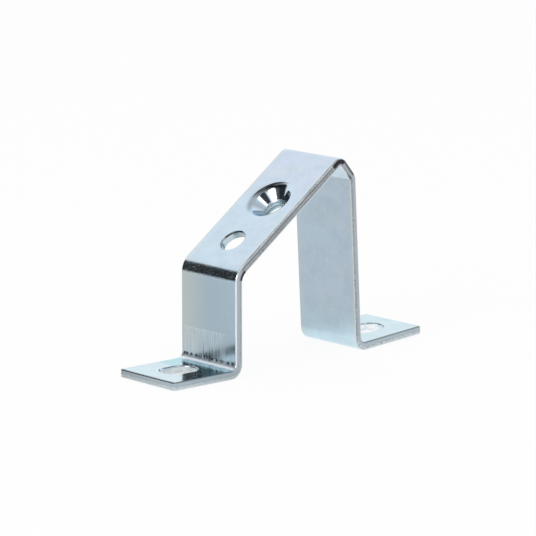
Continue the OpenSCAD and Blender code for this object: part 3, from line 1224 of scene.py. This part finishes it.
def rectangle(name, width, length, material_name):
    """A flat rectangle about the origin, linked to the scene, and its material's nodes."""
    x, y = width / 2, length / 2
    plane = bpy.data.meshes.new(name)
    plane.from_pydata([(-x, -y, 0), (x, -y, 0), (x, y, 0), (-x, y, 0)], [], [(0, 1, 2, 3)])
    made = bpy.data.objects.new(name, plane)
    bpy.context.scene.collection.objects.link(made)
    material = bpy.data.materials.new(material_name)
    material.use_nodes = True
    plane.materials.append(material)
    return made, Nodes(material.node_tree)


print("the set can be built now")

# %% [markdown]
# The set is white all round. The floor shows a plain white to the camera and in the metal, but
# keeps a little of its true shading, so a soft shadow stays under the feet. Only the rays that
# see the floor get the white, so it doesn't light the bracket from below.

# %% The floor
white_share = 0.92
floor_size = 6.0
floor_drop = 0.0001
floor_roughness = 0.9
FLOOR_PAINT = (0.95, 0.95, 0.95)

floor, floor_nodes = rectangle("floor", floor_size, floor_size, "white_floor")
floor.location.z = -floor_drop
paint = floor_nodes.tree.nodes["Principled BSDF"]
floor_nodes.put(FLOOR_PAINT, paint.inputs["Base Color"])
floor_nodes.put(floor_roughness, paint.inputs["Roughness"])
share = floor_nodes.times(seen_directly(floor_nodes), white_share)
show_mix(floor_nodes, share, paint, floor_nodes.node("ShaderNodeEmission"))
print("white floor laid,", floor_size, "m wide")

# %% [markdown]
# The world is the room. Metal shows it as plain white, but it lights the bracket a little less,
# so that scuffs and dust don't glow.

# %% The room
room_light = 0.8

room = bpy.data.worlds.new("white_room")
room.use_nodes = True
bpy.context.scene.world = room
room_nodes = Nodes(room.node_tree)
background = room_nodes.tree.nodes["Background"]
room_nodes.put((1, 1, 1), background.inputs["Color"])
strength = room_nodes.spread(seen_directly(room_nodes), 0, 1, room_light, 1.0)
room_nodes.put(strength, background.inputs["Strength"])
print("the room shows as 1 and lights as", room_light)

# %% [markdown]
# Two soft boxes make the bright sectors in the cone: one stands at the left, and one hangs in
# front. Their radiance is a little above the room's white, so they stay bright in tinted zinc.
# A soft box's watts are its radiance times pi squared times its area.

# %% The lamps
set_middle = Vector((0.0, 0.0, 0.02))


def soft_lamp(name, azimuth, elevation, distance, width, height, radiance):
    """A soft box that faces the bracket. Its power follows from its size and radiance."""
    lamp = bpy.data.objects.new(name, bpy.data.lights.new(name, "AREA"))
    lamp.data.shape = "RECTANGLE"
    lamp.data.size = width
    lamp.data.size_y = height
    lamp.data.energy = radiance * math.pi * math.pi * width * height
    away = direction_to(azimuth, elevation)
    lamp.location = set_middle + away * distance
    lamp.rotation_euler = away.to_track_quat("Z", "Y").to_euler()
    bpy.context.scene.collection.objects.link(lamp)


soft_lamp("left_lamp", azimuth=-79, elevation=19, distance=1.0,
          width=0.56, height=0.30, radiance=1.5)
soft_lamp("front_lamp", azimuth=-14, elevation=54, distance=1.0,
          width=0.30, height=0.12, radiance=1.4)
print("two soft lamps made")

# %% [markdown]
# Metal looks like metal only when it has something dark to mirror. A photographer stands cards
# beside the set for that. Ours are planes that only reflections see, with soft borders, so that
# their mirror images end softly as well.


# %% A card for reflections
def card(name, middle, facing, width, height, shade, soft):
    """A card seen only in reflections, of a grey shade that fades out over a soft border."""
    made, nodes = rectangle(name, width, height, name)
    made.location = middle
    made.rotation_euler = facing.to_euler()
    split = nodes.node("ShaderNodeSeparateXYZ")
    nodes.put(nodes.node("ShaderNodeTexCoord").outputs["Object"], split.inputs[0])
    cover = []
    for axis, half in (("X", width / 2), ("Y", height / 2)):
        from_middle = nodes.size_of(split.outputs[axis])
        cover.append(nodes.spread(from_middle, half, half - soft, smooth=True))
    glow = nodes.node("ShaderNodeEmission")
    nodes.put((shade, shade, shade), glow.inputs["Color"])
    show_mix(nodes, nodes.times(*cover), nodes.node("ShaderNodeBsdfTransparent"), glow)
    made.visible_camera = False
    made.visible_diffuse = False
    made.visible_transmission = False
    made.visible_shadow = False


def standing_card(name, azimuth, elevation, distance, width, height, shade, soft):
    """A card that faces the bracket."""
    away = direction_to(azimuth, elevation)
    card(name, set_middle + away * distance, away.to_track_quat("Z", "Y"), width, height, shade, soft)


def lying_card(name, azimuth, distance, width, length, shade, soft):
    """A card that lies on the floor, its length pointing away from the bracket."""
    middle = direction_to(azimuth, 0) * distance
    middle.z = -floor_drop / 2
    turn_to_it = Matrix.Rotation(math.radians(180 + azimuth), 3, "Z").to_quaternion()
    card(name, middle, turn_to_it, width, length, shade, soft)


print("cards can be set now")

# %% [markdown]
# Where a card goes follows from what mirrors it. The knee, the foot's corner and the cone's
# darkest sector look at the black card, low behind the left side. The dusk card beside it widens
# that sector, and the high card above it shades the rim's far side. The camera card hangs over
# the camera and splits the two lamps in the cone. The ceiling card greys the left side of the
# rim, and the floor card gives both legs their tone.

# %% Set the cards
standing_card("black_card", azimuth=-135, elevation=15.5, distance=0.35,
              width=0.28, height=0.276, shade=0.03, soft=0.03)
standing_card("dusk_card", azimuth=-108, elevation=26, distance=0.45,
              width=0.19, height=0.60, shade=0.10, soft=0.05)
standing_card("high_card", azimuth=-133, elevation=52, distance=0.5,
              width=0.30, height=0.14, shade=0.30, soft=0.04)
standing_card("camera_card", azimuth=-43, elevation=40, distance=0.6,
              width=0.28, height=0.32, shade=0.05, soft=0.03)
standing_card("ceiling_card", azimuth=0, elevation=90, distance=0.8,
              width=1.5, height=1.5, shade=0.58, soft=0.55)
lying_card("floor_card", azimuth=-138.5, distance=0.13,
           width=0.08, length=0.28, shade=0.69, soft=0.02)
print("six cards set")
